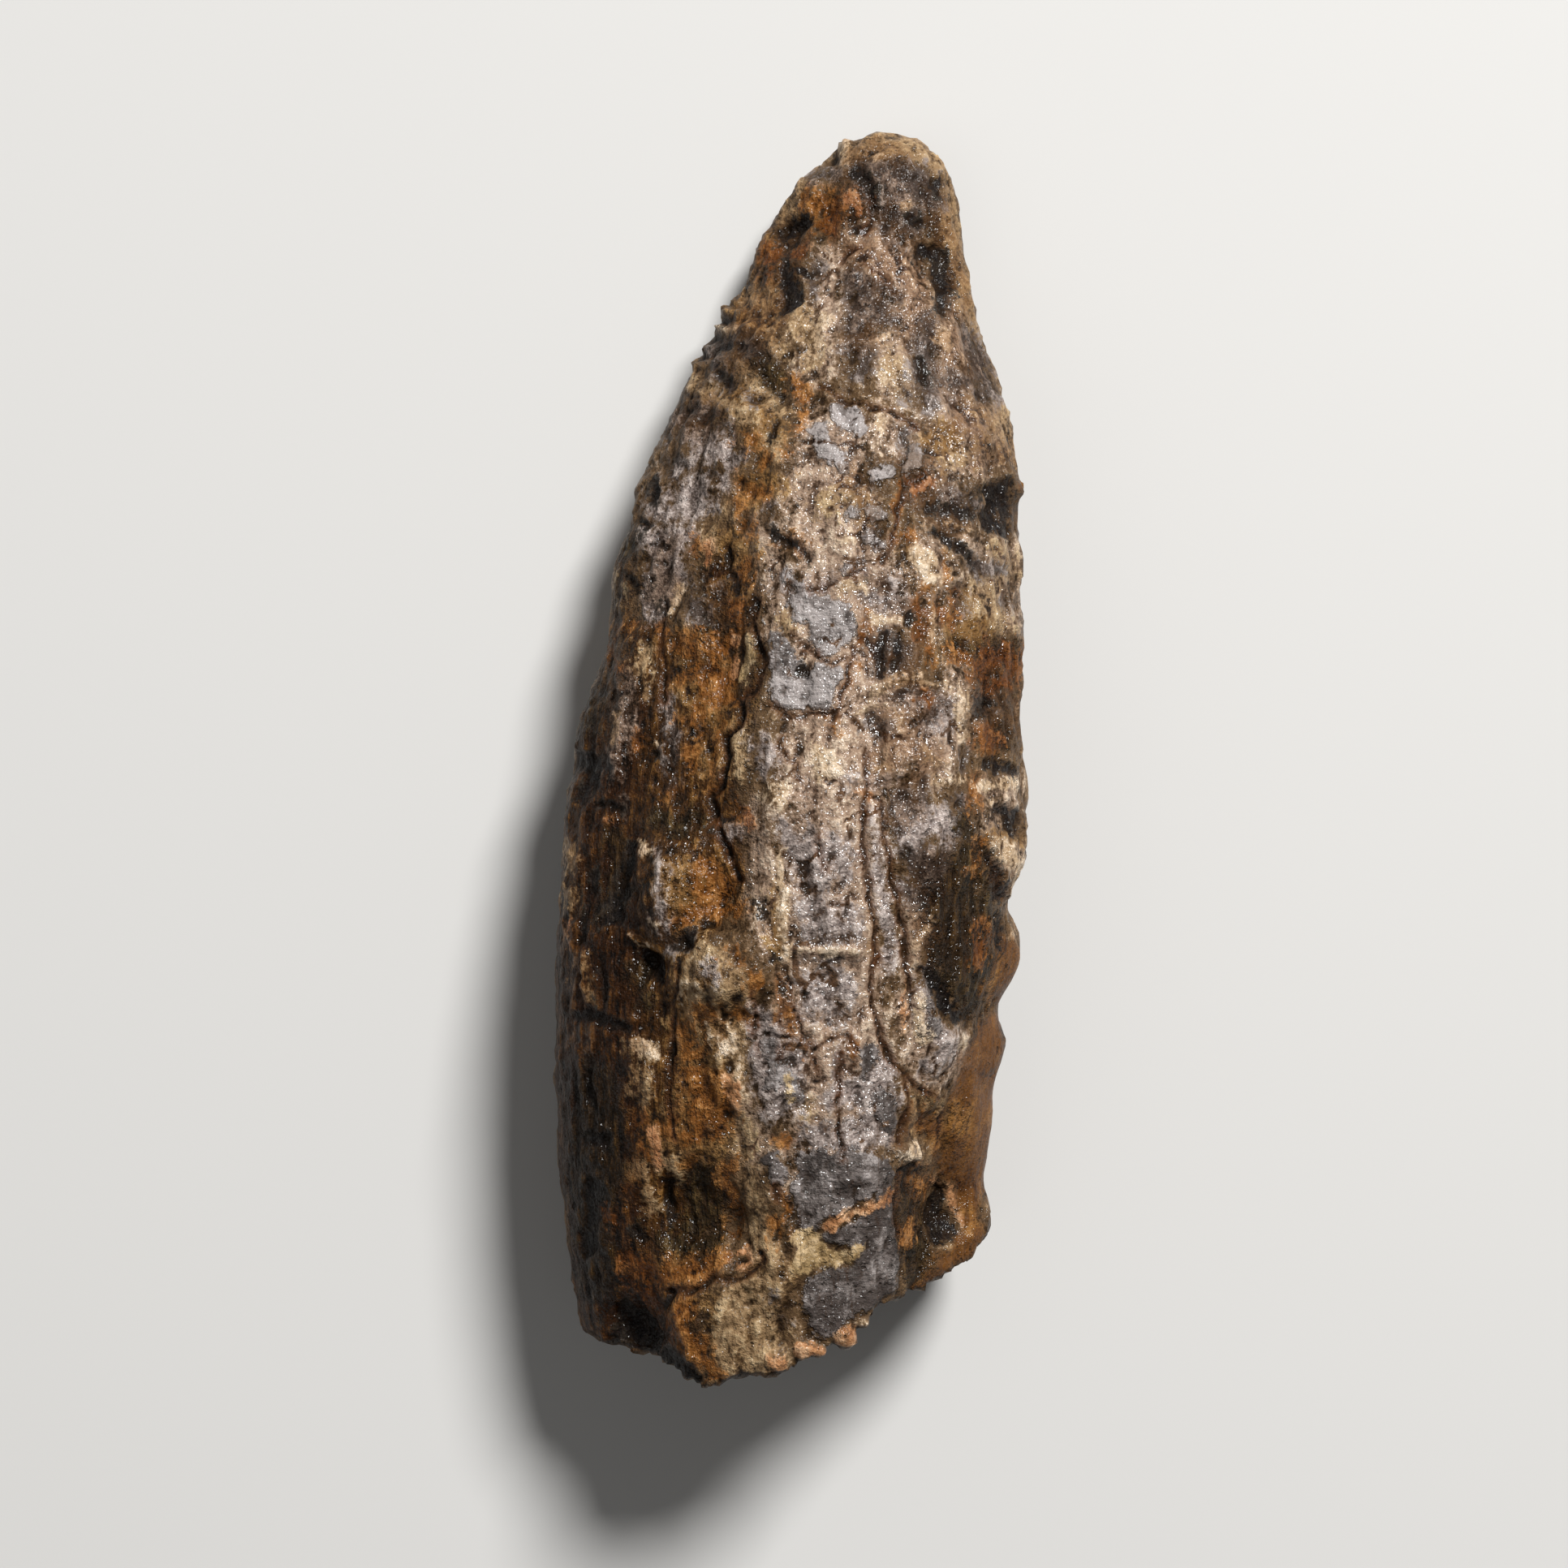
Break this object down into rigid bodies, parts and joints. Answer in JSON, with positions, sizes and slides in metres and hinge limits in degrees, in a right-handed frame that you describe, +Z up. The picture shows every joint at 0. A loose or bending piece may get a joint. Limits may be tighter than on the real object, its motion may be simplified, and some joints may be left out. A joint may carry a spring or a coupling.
{
  "type": "fossil theropod tooth crown",
  "caption": "Fossil crown of a large theropod tooth: a thick curved blade with a worn tip, cracked and flaked enamel, chipped edges and a slanting broken base. It lies on its flatter face.",
  "frame": {"origin": "middle of the bounding box in plan, at the level of the surface that the tooth lies on", "axes": "+Y along the crown from the broken base to the tip, +X across the blade from the front cutting edge to the rear one, +Z up out of the rounder face"},
  "size_m": [0.0292, 0.0776, 0.0189],
  "materials": {
    "tooth": "mineralised enamel and dentine, brown with slate-grey, tan and black patches, lightly glossy"
  },
  "bodies": {
    "root": {"tooth": "tooth"}
  },
  "joints": []
}
